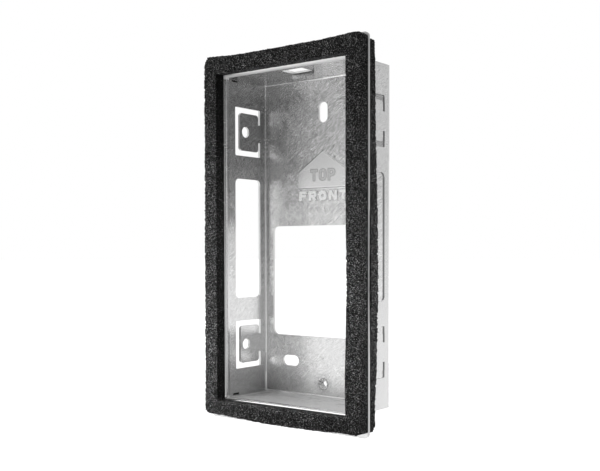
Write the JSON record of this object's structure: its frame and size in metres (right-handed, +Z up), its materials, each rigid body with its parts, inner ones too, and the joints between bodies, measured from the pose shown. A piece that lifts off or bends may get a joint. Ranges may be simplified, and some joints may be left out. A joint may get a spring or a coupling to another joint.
{
  "type": "flush back box",
  "caption": "Flush-mounting back box folded from galvanised steel sheet, with a flange round its open front and a foam gasket on each face of the flange.",
  "frame": {"origin": "middle of the box on the plane of the wall face, where the rear gasket seats", "axes": "+X to the right as seen from the open front, +Y into the wall, +Z up"},
  "size_m": [0.0944, 0.0396, 0.18],
  "materials": {
    "galvanised_steel": "galvanised, semi-gloss, finely scratched",
    "nut_steel": "zinc plated",
    "gasket_foam": "matt open-cell foam"
  },
  "bodies": {
    "root": {"box_shell": "galvanised_steel", "earth_nut": "nut_steel", "front_gasket": "gasket_foam", "rear_gasket": "gasket_foam"}
  },
  "joints": []
}
